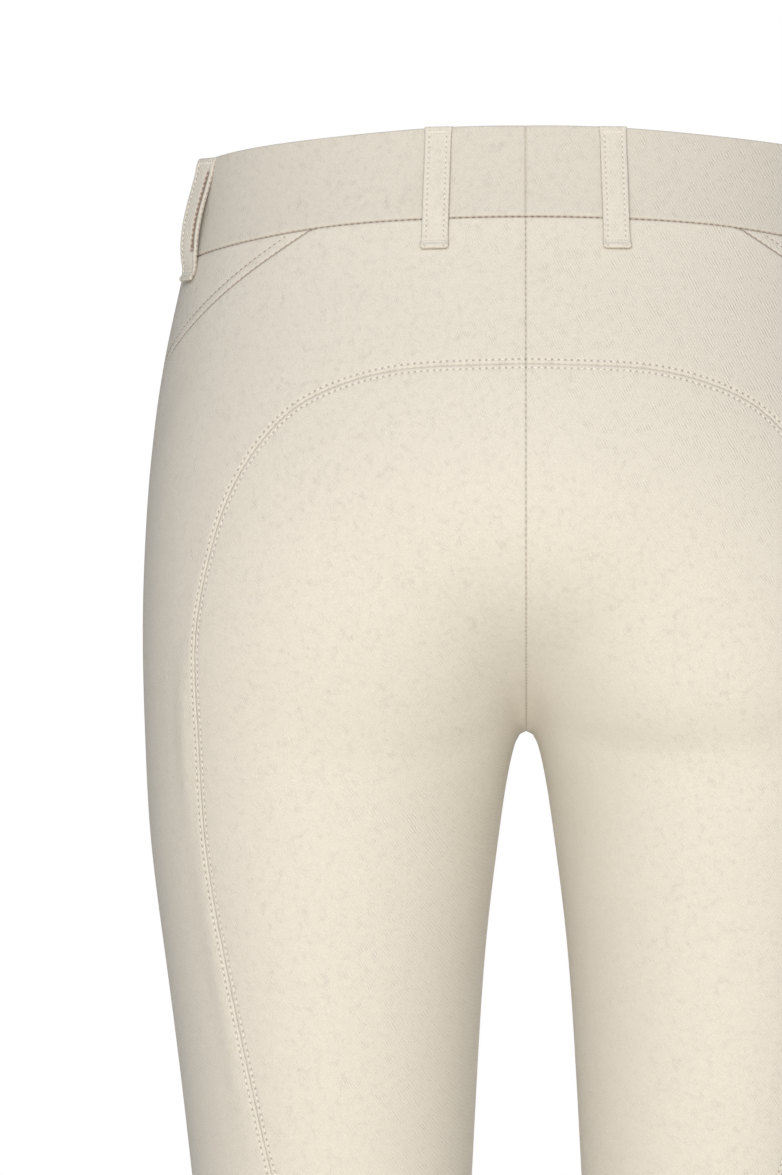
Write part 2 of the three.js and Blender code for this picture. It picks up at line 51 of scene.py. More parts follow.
# The figure that the cut is drafted on, in millimetres. At each height: how far out the hip or leg reaches
# from the middle, the leg's centre, its front and back, the power of its rounded section (2 is an ellipse),
# and how softly the two legs run together across the middle.
LEVELS = np.array([
    (70, 142.0, 0, -84, 84, 2.15, 0),
    (34, 146.5, 0, -86, 88, 2.15, 0),
    (0, 149.8, 0, -90, 94, 2.15, 2),
    (-30, 154.5, 5, -94, 100, 2.15, 10),
    (-70, 162.8, 20, -97, 108, 2.15, 36),
    (-115, 169.2, 38, -97, 117, 2.15, 66),
    (-160, 172.4, 56, -95, 121, 2.15, 80),
    (-200, 173.5, 73, -92, 116, 2.12, 54),
    (-230, 173.2, 85.2, -91, 106, 2.1, 20),
    (-252, 172.6, 89.1, -91, 98, 2.08, 10),
    (-290, 170.6, 91.4, -90, 91, 2.05, 10),
    (-340, 164.6, 91.4, -87, 86, 2.0, 10),
    (-390, 158.0, 89.9, -83, 80, 2.0, 10),
    (-450, 151.0, 88.0, -77, 72, 2.0, 10),
    (-510, 144.8, 86.4, -70, 63, 2.0, 10),
    (-570, 140.0, 85.0, -64, 56, 2.0, 10),
    (-630, 137.5, 83.8, -58, 58, 2.0, 10),
    (-690, 137.0, 82.6, -50, 64, 2.0, 10),
    (-750, 131.5, 81.2, -43, 62, 2.0, 10),
    (-810, 122.5, 80.2, -37, 52, 2.0, 10),
    (-870, 115.0, 79.8, -33, 42, 2.0, 10),
    (-930, 111.0, 79.6, -31, 36, 2.0, 10),
], dtype=[(key, float) for key in ("z", "outer", "centre", "front", "back", "power", "blend")])

# The waistband's edges. Angles go round the waist from 0 at centre back to 180 at centre front.
BAND = np.array([
    (-25, 19.9, -22.0),
    (0, 20.5, -21.3),
    (25, 19.9, -22.0),
    (50, 17.0, -24.8),
    (65, 14.9, -28.8),
    (80, 12.4, -32.6),
    (110, 8.0, -36.8),
    (145, 3.6, -40.2),
    (180, 2.0, -41.5),
    (215, 3.6, -40.2),
], dtype=[(key, float) for key in ("angle", "top", "seam")])

# Seams over the figure. Angles go round each leg's own centre, 0 straight back and 90 outside.
SEAT_SEAM = np.array([
    (-13.4, -88.3), (1.1, -89), (16.9, -91.4), (27, -97), (35, -106), (40.5, -121), (44, -140),
    (45.4, -174), (44.4, -204), (40.8, -229), (38.4, -262), (36.9, -300), (32.4, -348), (26.5, -399),
    (20.2, -445), (8, -500), (-8, -550), (-30, -600), (-58, -645), (-90, -680),
], dtype=[("angle", float), ("z", float)])
HIP_SEAM = np.array([
    (49, -24.6), (57, -38), (65, -52.5), (73.4, -67.5), (82, -80), (90, -93), (97, -110), (102, -130),
    (104, -160), (104, -220), (103, -300), (101, -450), (99, -680), (97, -868),
], dtype=[("angle", float), ("z", float)])
ARCH_TOP_Z = -88.3
SHOULDER_Z = -140          # where the arch turns down the leg
SIDE_Z = -150              # where the hip seam runs into the outseam
SEAT_TIP_Z = -680
HEM_Z = -868
CLOTH_WALL = 1.2
MM = 0.001                 # metres in a millimetre
BEYOND = 260.0             # farther than the face from any point inside it
HALVINGS = 40
SLOPE_STEP = 0.05
MM_PER_DEGREE = 1.5        # round the leg, for spacing a seam's points
SEAM_SAMPLES = 4000
TINY = 1e-6


def spline(xs, ys):
    """A smooth curve through a table's column, straight at both ends."""
    step = np.diff(xs)
    system = np.eye(len(xs))
    turn = np.zeros(len(xs))
    for i in range(1, len(xs) - 1):
        system[i, i - 1:i + 2] = step[i - 1], 2 * (step[i - 1] + step[i]), step[i]
        turn[i] = 6 * ((ys[i + 1] - ys[i]) / step[i] - (ys[i] - ys[i - 1]) / step[i - 1])
    bend = np.linalg.solve(system, turn)

    def value(x):
        i = np.clip(np.searchsorted(xs, x) - 1, 0, len(xs) - 2)
        a = (xs[i + 1] - x) / step[i]
        b = 1 - a
        curved = (a ** 3 - a) * bend[i] + (b ** 3 - b) * bend[i + 1]
        return a * ys[i] + b * ys[i + 1] + curved * step[i] ** 2 / 6
    return value


levels_up = LEVELS[::-1]
level_curves = {key: spline(levels_up["z"], levels_up[key]) for key in LEVELS.dtype.names[1:]}
band_top = spline(BAND["angle"], BAND["top"])
band_seam = spline(BAND["angle"], BAND["seam"])


def section(z):
    """The figure's section at heights: one value or array for each column of the table."""
    found = {key: curve(z) for key, curve in level_curves.items()}
    found["middle"] = (found["front"] + found["back"]) / 2
    return found


def from_leg(x, y, s):
    """Distance from the outer face of one leg, along the ray from its centre; below 0 inside."""
    across = np.abs((x - s["centre"]) / (s["outer"] - s["centre"]))
    along = np.abs((y - s["middle"]) / ((s["back"] - s["front"]) / 2))
    ratio = (across ** s["power"] + along ** s["power"]) ** (1 / s["power"])
    return np.hypot(x - s["centre"], y - s["middle"]) * (1 - 1 / np.maximum(ratio, TINY))


def field(x, y, z, s=None):
    """Distance from the garment's outer face: both legs, blended across the middle."""
    s = s or section(z)
    near, other = from_leg(x, y, s), from_leg(-x, y, s)
    reach = np.maximum(s["blend"], TINY)
    overlap = np.maximum(reach - np.abs(near - other), 0) / reach
    return np.minimum(near, other) - overlap ** 2 * reach / 4


def reach_of(inside, limit):
    """The distance at which a ray leaves the inside, by halving."""
    low, high = np.zeros_like(limit), limit
    for _ in range(HALVINGS):
        half = (low + high) / 2
        within = inside(half)
        low, high = np.where(within, half, low), np.where(within, high, half)
    return low


def on_ray(angle, z):
    """Points of the face at angles round the leg's centre, on the leg's own side of the middle."""
    angle, z = np.broadcast_arrays(np.asarray(angle, float), np.asarray(z, float))
    s = section(z)
    sine, cosine = np.sin(np.radians(angle)), np.cos(np.radians(angle))
    inward = np.where(sine < 0, s["centre"] / np.maximum(-sine, TINY), BEYOND)
    limit = np.minimum(inward, BEYOND)
    reach = reach_of(lambda r: field(s["centre"] + r * sine, s["middle"] + r * cosine, z, s) < 0, limit)
    return np.stack([s["centre"] + reach * sine, s["middle"] + reach * cosine, z], -1)


def on_middle(z, side):
    """Points of the centre back (side 1) or centre front (side -1)."""
    z = np.asarray(z, float)
    s = section(z)
    reach = reach_of(lambda r: field(0 * z, s["middle"] + side * r, z, s) < 0, BEYOND + 0 * z)
    return np.stack([0 * z, s["middle"] + side * reach, z], -1)


# The point that the rise's angles go round
RISE_Y, RISE_Z = 4.6, float(band_seam(180))


def on_rise(angle):
    """Points of the rise, from 0 at centre back through the crotch at 90 to 180 at centre front."""
    down, back = np.sin(np.radians(angle)), np.cos(np.radians(angle))
    reach = reach_of(lambda r: field(0 * r, RISE_Y + r * back, RISE_Z - r * down) < 0, BEYOND + 0 * down)
    return np.stack([0 * reach, RISE_Y + reach * back, RISE_Z - reach * down], -1)


def angle_of(points, side):
    """Angles of points round the leg's centre. On the front (side -1) they run on past 180 to 270."""
    s = section(points[..., 2])
    angle = np.degrees(np.arctan2(points[..., 0] - s["centre"], points[..., 1] - s["middle"]))
    return np.where((side < 0) & (angle < 0), angle + 360, angle)


def outward(points):
    """The face's outward direction at points."""
    x, y, z = np.moveaxis(points, -1, 0)
    h = SLOPE_STEP
    slope = [field(x + h, y, z) - field(x - h, y, z), field(x, y + h, z) - field(x, y - h, z),
             field(x, y, z + h) - field(x, y, z - h)]
    slope = np.stack(slope, -1)
    return slope / np.linalg.norm(slope, axis=-1, keepdims=True)


def settled(points):
    """Points moved along the face, put back on it."""
    for _ in range(4):
        x, y, z = np.moveaxis(points, -1, 0)
        points = points - outward(points) * field(x, y, z)[..., None]
    return points


def seam_curve(rows):
    """A seam drawn through a table of angles and heights, by the distance along it."""
    gaps = np.hypot(np.diff(rows["angle"]) * MM_PER_DEGREE, np.diff(rows["z"]))
    along = np.concatenate([[0], np.cumsum(gaps)])
    angle, height = spline(along, rows["angle"]), spline(along, rows["z"])
    fine = np.linspace(0, along[-1], SEAM_SAMPLES)
    heights = height(fine)

    def at_height(z):
        return np.interp(-np.asarray(z, float), -heights, fine)
    return (lambda d: on_ray(angle(d), height(d))), at_height


def joined(*stretches):
    """One seam from stretches of (steps, from, to, place), as a function of 0 to 1 along all its steps."""
    total = sum(steps for steps, *_ in stretches)

    def points(share):
        share = np.asarray(share, float) * total
        found = np.zeros(share.shape + (3,))
        start = 0
        for steps, low, high, place in stretches:
            here = (share >= start - TINY) & (share <= start + steps + TINY)
            found[here] = place(low + (share[here] - start) / steps * (high - low))
            start += steps
        return found
    return points


hip_point, hip_at = seam_curve(HIP_SEAM)
seat_point, seat_at = seam_curve(SEAT_SEAM)


def on_band_seam(angle):
    return on_ray(angle, band_seam(angle))


def on_outseam(z):
    return hip_point(hip_at(z))


def on_seat_side(z):
    return seat_point(seat_at(z))


def on_inseam(z):
    return on_ray(-90, z)


BACK_ANGLE = float(angle_of(on_middle(band_seam(0), 1), 1))
FRONT_ANGLE = float(angle_of(on_middle(band_seam(180), -1), -1))
HIP_TOP_ANGLE = HIP_SEAM["angle"][0]
arch_top = on_middle(ARCH_TOP_Z, 1)
ARCH_RISE = math.degrees(math.atan2(RISE_Z - arch_top[2], arch_top[1] - RISE_Y))
crotch = on_rise(np.array(90.0))

# Each stretch of seam: steps, from, to, and what places its points
band_back = (5, BACK_ANGLE, HIP_TOP_ANGLE, on_band_seam)
hip = (5, 0, float(hip_at(SIDE_Z)), hip_point)
outseam = (18, SIDE_Z, SEAT_TIP_Z, on_outseam)
out_calf = (6, SEAT_TIP_Z, HEM_Z, on_outseam)
arch = (10, 0, float(seat_at(SHOULDER_Z)), seat_point)
seat_side = (18, SHOULDER_Z, SEAT_TIP_Z, on_seat_side)
rise_back = (14, ARCH_RISE, 90, on_rise)
rise_front = (9, 180, 90, on_rise)
inseam = (14, float(crotch[2]), SEAT_TIP_Z, on_inseam)
calf = (6, SEAT_TIP_Z, HEM_Z, on_inseam)

# Distances from an edge at which a panel's mesh has lines, millimetres
NEAR_EDGE = np.array([0, 0.3, 0.6, 0.95, 1.4, 2.0, 2.6, 3.3, 4.2, 5.4, 7.2, 9.6])
MESH_STEP = 4.2


def graded(length):
    """Shares of a length, close together near both ends."""
    near = NEAR_EDGE[NEAR_EDGE < length / 3]
    inner = np.linspace(near[-1], length - near[-1], max(3, int(length / MESH_STEP)))
    return np.concatenate([near, inner[1:-1], (length - near)[::-1]]) / length


def panel_points(side_a, side_b, first, last, facing, lengths):
    """Points over a panel between two long seams and its first and last edges, either of which may be a
    point. facing: 1 back, -1 front. lengths: about how long and how wide it is, for spacing the mesh."""
    def chart(points):
        return np.stack([angle_of(points, facing), points[..., 2]], -1)

    v, u = graded(lengths[0]), graded(lengths[1])
    a, b = side_a(v), side_b(v)
    p, q = first(u) if first else None, last(u) if last else None
    ca, cb = chart(a), chart(b)
    cp = chart(p) if first else np.repeat(ca[:1], len(u), 0)
    cq = chart(q) if last else np.repeat(ca[-1:], len(u), 0)
    V, U = v[:, None, None], u[None, :, None]
    across = (1 - U) * ca[:, None] + U * cb[:, None]
    down = (1 - V) * cp[None] + V * cq[None]
    corners = (1 - V) * ((1 - U) * ca[0] + U * cb[0]) + V * ((1 - U) * ca[-1] + U * cb[-1])
    mixed = across + down - corners if first or last else across
    points = on_ray(mixed[..., 0], mixed[..., 1])
    points[:, 0], points[:, -1] = a, b
    points[0] = p if first else a[0]
    points[-1] = q if last else a[-1]
    return points


BATCH = 4000


def distance_along(points, line):
    """Distance of each point from a line of points, and how far along the line it lies."""
    start, gap = line[:-1], np.diff(line, axis=0)
    length = np.linalg.norm(gap, axis=1)
    keep = length > TINY
    start, gap, length = start[keep], gap[keep], length[keep]
    before = np.concatenate([[0], np.cumsum(length)[:-1]])
    flat = points.reshape(-1, 3)
    distance, along = np.empty(len(flat)), np.empty(len(flat))
    for at in range(0, len(flat), BATCH):
        offset = flat[at:at + BATCH, None] - start[None]
        share = np.clip((offset * gap).sum(-1) / length ** 2, 0, 1)
        apart = np.linalg.norm(offset - share[..., None] * gap, axis=-1)
        best = apart.argmin(1)
        rows = np.arange(len(best))
        distance[at:at + BATCH] = apart[rows, best]
        along[at:at + BATCH] = (before + share * length)[rows, best]
    return distance.reshape(points.shape[:-1]), along.reshape(points.shape[:-1])


# Soft ridges (height above 0) and troughs (below 0) in the cloth. side: 1 the wearer's left, -1 the right.
# Each runs from one angle and height to another; its width and height are in millimetres.
CREASES = np.array([
    # the seat's roundness and the folds under it, drawn towards the crotch
    (-1, -62, -247, -8, -262, 9, -1.5),
    (-1, -56, -268, 12, -286, 13, 0.7),
    (-1, -84, -290, 28, -260, 17, -5.0),
    (-1, -64, -246, 36, -226, 20, 3.2),
    (1, -84, -292, 12, -262, 17, -3.0),
    (1, -64, -246, 20, -228, 20, 1.2),
    (1, -60, -250, -22, -262, 8, -0.9),
    (1, -50, -272, 4, -285, 12, 0.5),
    (-1, -38, -228, -10, -226, 14, 0.8),
    (1, -40, -230, -14, -228, 13, 0.6),
    # beside the full seat's seam on the thigh
    (1, 47, -205, 43, -300, 5, 0.9),
    (1, 42.5, -290, 28, -440, 5, 0.8),
    (-1, 47, -205, 42, -310, 5, 0.7),
    (-1, 41, -300, 24, -450, 5, 0.8),
    # hips
    (1, 66, -70, 84, -128, 12, -0.5),
    (-1, 60, -64, 80, -140, 14, -0.6),
    (-1, 52, -120, 62, -190, 10, 0.5),
    # behind the knees
    (1, -50, -548, 48, -560, 7, -1.6),
    (1, -38, -572, 60, -588, 8, -1.3),
    (1, -30, -528, 30, -536, 8, -0.7),
    (-1, -44, -552, 56, -561, 7, -1.5),
    (-1, -52, -578, 40, -586, 8, -1.4),
    (-1, -10, -606, 50, -612, 7, -0.7),
    # at the front of the crotch and thigh
    (1, 262, -236, 214, -214, 9, -1.2),
    (1, 256, -252, 196, -248, 9, -0.9),
    (-1, 262, -238, 206, -222, 10, -1.1),
    (-1, 254, -258, 204, -262, 9, -0.8),
    (1, 240, -300, 190, -322, 14, 0.5),
    (-1, 236, -292, 186, -306, 14, 0.5),
    # over the front of the knees
    (1, 150, -600, 214, -606, 8, -0.7),
    (-1, 146, -594, 206, -602, 8, -0.8),
    # round the ankles
    (1, -60, -846, 80, -850, 5, -0.8),
    (1, 120, -840, 230, -846, 5, -0.7),
    (1, 20, -822, 120, -828, 6, -0.6),
    (-1, -50, -842, 70, -849, 5, -0.8),
    (-1, 110, -846, 240, -842, 5, -0.7),
    (-1, -20, -824, 90, -820, 6, -0.6),
], dtype=[(key, float) for key in ("side", "angle", "z", "to_angle", "to_z", "width", "height")])
CREASE_POINTS = 9
CREASE_REACH = 3           # widths of a crease beyond which it no longer counts
CREASE_FADE = 0.8          # how slowly it dies out towards its ends


def creased(points):
    """How far the creases raise or sink the cloth at points of either half."""
    raised = np.zeros(points.shape[:-1])
    for crease in CREASES:
        share = np.linspace(0, 1, CREASE_POINTS)
        line = on_ray(crease["angle"] + share * (crease["to_angle"] - crease["angle"]),
                      crease["z"] + share * (crease["to_z"] - crease["z"]))
        line[:, 0] *= crease["side"]
        reach = CREASE_REACH * crease["width"]
        near = ((points > line.min(0) - reach) & (points < line.max(0) + reach)).all(-1)
        if near.any():
            apart, along = distance_along(points[near], line)
            length = np.linalg.norm(np.diff(line, axis=0), axis=1).sum()
            fade = np.sin(np.pi * np.clip(along / length, 0, 1)) ** CREASE_FADE
            raised[near] += crease["height"] * fade * np.exp(-(apart / crease["width"]) ** 2)
    return raised


# How the cloth lies at each kind of seam: depth of its groove in millimetres, darkness of the shadow in it
SEAMS = {
    "waist": (0.6, 1.0),
    "hip": (0.35, 0.9),
    "side": (0.5, 0.45),
    "centre": (0.1, 0.5),
    "band centre": (0.3, 0.16),
    "seat": (0.45, 0.20),
    "knit": (0.7, 0.5),
}
GROOVE_WIDTH = 0.6
# Width of the shadow painted along a seam's groove
GAP_SHADE_WIDTH = 0.42
FOLD_RADIUS = 0.9
ROW_DEPTH = 0.22           # how far a row of stitches draws the cloth in
ROW_WIDTH = 0.45
ROW_REACH = 1.2
CROTCH_CALM = 16.0         # the grooves die out this near the crotch
CROTCH_FILL = 2.2          # the four seam allowances meeting there hold the cloth out
CROTCH_SPREAD = np.array([3.8, 28.0, 14.0])
INNER_SHARE = 0.5          # how much of a hollow shows on the wrong side
FAR_OFF = 50.0


def shown(name, mesh):
    """A smooth mesh's object, in the scene."""
    mesh.polygons.foreach_set("use_smooth", [True] * len(mesh.polygons))
    piece = bpy.data.objects.new(name, mesh)
    bpy.context.scene.collection.objects.link(piece)
    return piece


def dressed(piece, material):
    """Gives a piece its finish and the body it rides."""
    piece.data.materials.append(material)
    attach(piece, "root")
    return piece


def wall_mesh(name, outer, inner, attributes):
    """A closed thin wall from two grids of points in millimetres, with the outer grid's attributes."""
    rows, columns = outer.shape[:2]
    count = rows * columns
    merged = np.arange(count).reshape(rows, columns)
    for row in (0, rows - 1):
        if np.linalg.norm(outer[row, 0] - outer[row, -1]) < TINY:
            merged[row] = merged[row, 0]
    ring = np.abs(outer[0] - outer[-1]).max() < TINY
    if ring:
        merged[-1] = merged[0]
    a, b = merged[:-1, :-1].ravel(), merged[:-1, 1:].ravel()
    c, d = merged[1:, 1:].ravel(), merged[1:, :-1].ravel()
    quads = np.stack([a, b, c, d], 1)
    rims = [merged[:, 0], merged[::-1, -1]]
    if not ring:
        rims += [merged[0, ::-1], merged[-1]]
    faces = [quads, quads[:, ::-1] + count]
    for line in rims:
        here, after = line[:-1], line[1:]
        faces.append(np.stack([here, after, after + count, here + count], 1))
    faces = np.concatenate(faces)
    points = np.concatenate([outer.reshape(-1, 3), inner.reshape(-1, 3)])
    centre = quads[len(quads) // 2]
    turn = np.cross(points[centre[1]] - points[centre[0]], points[centre[3]] - points[centre[0]])
    if turn @ (points[centre[0]] - points[centre[0] + count]) < 0:
        faces = faces[:, ::-1]
    polygons = [list(dict.fromkeys(face)) for face in faces.tolist()]
    mesh = bpy.data.meshes.new(name)
    mesh.from_pydata((points * MM).tolist(), [], [face for face in polygons if len(face) > 2])
    for key, values in attributes.items():
        layer = mesh.attributes.new(key, "FLOAT_VECTOR", "POINT")
        doubled = np.concatenate([values.reshape(-1, 3)] * 2)
        layer.data.foreach_set("vector", doubled.astype(np.float32).ravel())
    work = bmesh.new()
    work.from_mesh(mesh)
    bmesh.ops.delete(work, geom=[v for v in work.verts if not v.link_faces], context="VERTS")
    work.to_mesh(mesh)
    work.free()
    return shown(name, mesh)


class Wire:
    """A shader socket that can be used in sums: each operator adds a Math node."""

    def __init__(self, tree, socket=None):
        self.tree, self.socket = tree, socket

    def node(self, kind, settings=None, inputs=None, output=0):
        made = self.tree.nodes.new(kind)
        for key, value in (settings or {}).items():
            setattr(made, key, value)
        for key, value in (inputs or {}).items():
            if isinstance(value, Wire):
                self.tree.links.new(value.socket, made.inputs[key])
            else:
                made.inputs[key].default_value = value
        return Wire(self.tree, made.outputs[output])

    def maths(self, operation, *others):
        return self.node("ShaderNodeMath", {"operation": operation}, dict(enumerate((self, *others))))

    def after(self, operation, first):
        return self.node("ShaderNodeMath", {"operation": operation}, {0: first, 1: self})

    def colour(self, share, plain, other, blend="MIX"):
        settings = {"data_type": "RGBA", "blend_type": blend}
        return self.node("ShaderNodeMix", settings, {0: share, 6: plain, 7: other}, 2)

    def noise(self, scale, detail=2.0, roughness=0.5):
        return self.node("ShaderNodeTexNoise", {}, {"Vector": self, "Scale": scale, "Detail": detail,
                                                    "Roughness": roughness})

    def bump(self, height, strength, distance):
        inputs = {"Strength": strength, "Distance": distance, "Height": height}
        return self.node("ShaderNodeBump", {}, inputs)

    def seam(self):
        return self.node("ShaderNodeAttribute", {"attribute_name": "seam"}, output=1)

    def parts(self):
        return (self.node("ShaderNodeSeparateXYZ", {}, {0: self}, i) for i in range(3))

    def feed(self, surface, name):
        self.tree.links.new(self.socket, surface.inputs[name])

    def __add__(self, other): return self.maths("ADD", other)
    def __sub__(self, other): return self.maths("SUBTRACT", other)
    def __mul__(self, other): return self.maths("MULTIPLY", other)
    def __truediv__(self, other): return self.maths("DIVIDE", other)
    def __pow__(self, other): return self.maths("POWER", other)
    def __rsub__(self, other): return self.after("SUBTRACT", other)
    __radd__, __rmul__ = __add__, __mul__


def blank_finish(name, sheen, specular, roughness=0.75):
    """A material with its constant sockets set: its tree, its surface and the place on the object."""
    material = bpy.data.materials.new(name)
    material.use_nodes = True
    tree = material.node_tree
    surface = tree.nodes["Principled BSDF"]
    surface.inputs["Sheen Weight"].default_value = sheen
    surface.inputs["Sheen Roughness"].default_value = 0.5
    surface.inputs["Specular IOR Level"].default_value = specular
    surface.inputs["Roughness"].default_value = roughness
    return material, surface, Wire(tree).node("ShaderNodeTexCoord", output=3)


def shades(colour, share):
    """A colour made darker, with its alpha."""
    return [channel * share for channel in colour] + [1]


STITCH_PITCH = 2.9
DENT_WIDTH = 0.42          # of the needle's dents along a row
SHADOW_BROWN = (0.26, 0.19, 0.15, 1)
TWILL_RIB = 0.00118
RIB_LEAN = (-1.0, 0.25, 0.55)
# How fine each noise is, in waves to the metre
YARN, SLUB, STREAK, CLOUD = 1700.0, 230.0, 330.0, 11.0


def twill(name, colour):
    """Fine stretch twill: steep diagonal ribs, needle dents with painted shade in them along the
    topstitching, painted shadow in the seams.
    """
    material, surface, place = blank_finish(name, sheen=0.10, specular=0.22)
    gap_shade, row, along = place.seam().parts()
    x, y, z = place.parts()
    yarn = place.noise(YARN, 2.0, 0.6)
    slub = place.noise(SLUB, 2.0, 0.6)
    cloud = place.noise(CLOUD, 2.0)
    diagonal = (x * RIB_LEAN[0] + y * RIB_LEAN[1] + z * RIB_LEAN[2]) * (2 * math.pi / TWILL_RIB)
    streak = ((place.noise(STREAK, 1.0) - 0.40) * 4.0).maths("MAXIMUM", 0.0)
    ribs = (diagonal + slub * 9.0).maths("SINE") * streak
    beat = (along * (2 * math.pi / STITCH_PITCH)).maths("COSINE") * 0.5 + 0.5
    needle = ((row / -DENT_WIDTH) * (row / DENT_WIDTH)).maths("EXPONENT") * (beat ** 3)
    # Painted shadow in seams and gaps, broken into dots at the stitch pitch where ladder stitches cross
    # them
    shadow = (gap_shade * (beat * 0.75 + 0.5)).maths("MINIMUM", 1.0)
    tone = place.colour(cloud, shades(colour, 1.0), shades(colour, 0.965))
    tone = place.colour(yarn, tone, shades(colour, 0.70))
    tone = place.colour((ribs * 0.16 + 0.10).maths("MAXIMUM", 0.0), tone, shades(colour, 0.62))
    # Painted shade in the needle's dents along the rows
    tone = place.colour((needle * 0.62).maths("MINIMUM", 1.0), tone, SHADOW_BROWN)
    place.colour(shadow, tone, SHADOW_BROWN).feed(surface, "Base Color")
    (slub * 0.12 + 0.70).feed(surface, "Roughness")
    place.bump(ribs * 0.22 + yarn * 0.5 + slub * 0.25 - needle * 0.9, 0.7, 0.0005).feed(surface, "Normal")
    return material


def twisted_thread(name, colour):
    """Sewing thread: a fine twist in its colour, its gloss and its relief."""
    material, surface, place = blank_finish(name, sheen=0.05, specular=0.4)
    twist = place.noise(2600.0, 1.0)
    place.colour(twist, shades(colour, 1.0), shades(colour, 0.82)).feed(surface, "Base Color")
    (twist * 0.2 + 0.45).feed(surface, "Roughness")
    place.bump(twist, 0.4, 0.0002).feed(surface, "Normal")
    return material


CREAM = (0.86, 0.823, 0.743)
cloth = twill("stretch_twill", CREAM)
thread = twisted_thread("sewing_thread", (0.90, 0.87, 0.80))


def mirrored(points, side):
    """The left half's points, or the same on the right."""
    return points * np.array([side, 1.0, 1.0])


def along_line(line):
    """How far along a line each of its points lies."""
    steps = np.linalg.norm(np.diff(line, axis=0), axis=1)
    return np.concatenate([[0], np.cumsum(steps)])


def panel(name, side, points, wall, material, edges, rows=(), proud=0.0):
    """Makes one sewn piece. edges: the kind of seam at side a, side b, first and last, or "fold". rows of
    topstitching: (edge, distance from it, from, to)."""
    borders = {"a": points[:, 0], "b": points[:, -1], "first": points[0], "last": points[-1]}
    raised = np.full(points.shape[:-1], proud)
    gap_shade = np.zeros(points.shape[:-1])
    along = np.zeros(points.shape[:-1])
    nearest = np.full(points.shape[:-1], FAR_OFF)
    calm = np.clip(np.linalg.norm(points - crotch, axis=-1) / CROTCH_CALM, 0, 1)
    for key, kind in edges.items():
        apart, far = distance_along(points, borders[key])
        if kind == "fold":
            inside = np.clip(1 - apart / FOLD_RADIUS, 0, 1)
            raised -= FOLD_RADIUS * (1 - np.sqrt(1 - inside ** 2))
            continue
        depth, dark = SEAMS[kind]
        raised -= (depth * calm + proud) * np.exp(-(apart / GROOVE_WIDTH) ** 2)
        # Painted shade along the seam's groove, darkest at its line
        gap_shade = np.maximum(gap_shade, dark * np.exp(-(apart / GAP_SHADE_WIDTH) ** 2))
        along = np.where(apart < nearest, far, along)
        nearest = np.minimum(nearest, apart)
    row = np.full(points.shape[:-1], FAR_OFF)
    for key, offset, low, high in rows:
        apart, far = distance_along(points, borders[key])
        away = np.where((far >= low) & (far <= high), np.abs(apart - offset), FAR_OFF)
        raised -= ROW_DEPTH * np.exp(-(away / ROW_WIDTH) ** 2)
        taken = away < np.minimum(row, ROW_REACH)
        row, along = np.where(taken, away, row), np.where(taken, far - low, along)
    base, faced = mirrored(points, side), mirrored(outward(points), side)
    fill = np.exp(-(((points - crotch) / CROTCH_SPREAD) ** 2).sum(-1))
    raised = raised + creased(base) + CROTCH_FILL * fill
    outer = base + faced * raised[..., None]
    inner = base + faced * (np.minimum(raised, 0) * INNER_SHARE - wall)[..., None]
    piece = wall_mesh(name, outer, inner, {"seam": np.stack([gap_shade, row, along], -1)})
    return dressed(piece, material)


def stitch_row(line, side, offset, low, high, inward=1):
    """Places for a row of stitches beside a seam: centres, directions, normals and height."""
    def at(distance):
        return np.stack([np.interp(distance, along, line[:, i]) for i in range(3)], -1)

    along = along_line(line)
    spots = np.arange(low + STITCH_PITCH / 2, min(high, along[-1]), STITCH_PITCH)
    centre = at(spots)
    direction = at(spots + STITCH_PITCH / 5) - at(spots - STITCH_PITCH / 5)
    direction /= np.linalg.norm(direction, axis=1, keepdims=True)
    centre = settled(centre + np.cross(outward(centre), direction) * (inward * offset))
    placed = mirrored(centre, side)
    return placed, mirrored(direction, side), mirrored(outward(centre), side), creased(placed) - ROW_DEPTH


STITCH_DIP = 0.3


def stitching(name, rows, length=2.0, width=0.32, height=0.36, material=thread):
    """One joined mesh of thread stitches: each a small rounded bar whose ends dip into the cloth."""
    share = np.array([-0.5, -0.42, -0.22, 0, 0.22, 0.42, 0.5])
    swell = np.sqrt(np.clip(1 - (2 * share) ** 4, 0, 1)) * 0.9 + 0.1
    dip = -STITCH_DIP * (2 * np.abs(share)) ** 4
    corners = 6
    turn = np.arange(corners) / corners * 2 * math.pi
    centre, direction, normal = (np.concatenate([row[i] for row in rows]) for i in range(3))
    lift = np.concatenate([np.broadcast_to(row[3], len(row[0])) for row in rows])
    across = np.cross(normal, direction)
    ring = (across[:, None, None] * (np.cos(turn)[None, None, :, None] * width)
            + normal[:, None, None] * (np.sin(turn)[None, None, :, None] * height))
    spine = (centre[:, None] + direction[:, None] * (share[None, :, None] * length)
             + normal[:, None] * (lift[:, None] + dip[None, :])[..., None])
    points = spine[:, :, None] + ring * swell[None, :, None, None]
    each = len(share) * corners
    one = [(i + j, i + (j + 1) % corners, i + corners + (j + 1) % corners, i + corners + j)
           for i in range(0, each - corners, corners) for j in range(corners)]
    one += [tuple(range(corners - 1, -1, -1)), tuple(range(each - corners, each))]
    faces = [tuple(corner + first for corner in face)
             for first in range(0, len(centre) * each, each) for face in one]
    mesh = bpy.data.meshes.new(name)
    mesh.from_pydata((points.reshape(-1, 3) * MM).tolist(), [], faces)
    return dressed(shown(name, mesh), material)


SIDES = ((1, "left"), (-1, "right"))
SEAT_ROW = 2.0             # from the arched seam to the row on each side of it
SEAT_ROW_STOP = 12.0
BACK_SPAN = (960, 150)


def centre_back(u):
    return on_middle(band_seam(0) + u * (ARCH_TOP_Z - band_seam(0)), 1)


def hem_edge(inner):
    """The hem from the outseam round to an angle at the inseam."""
    outer = HIP_SEAM["angle"][-1]
    return lambda u: on_ray(outer + u * (inner - outer), HEM_Z + 0 * u)


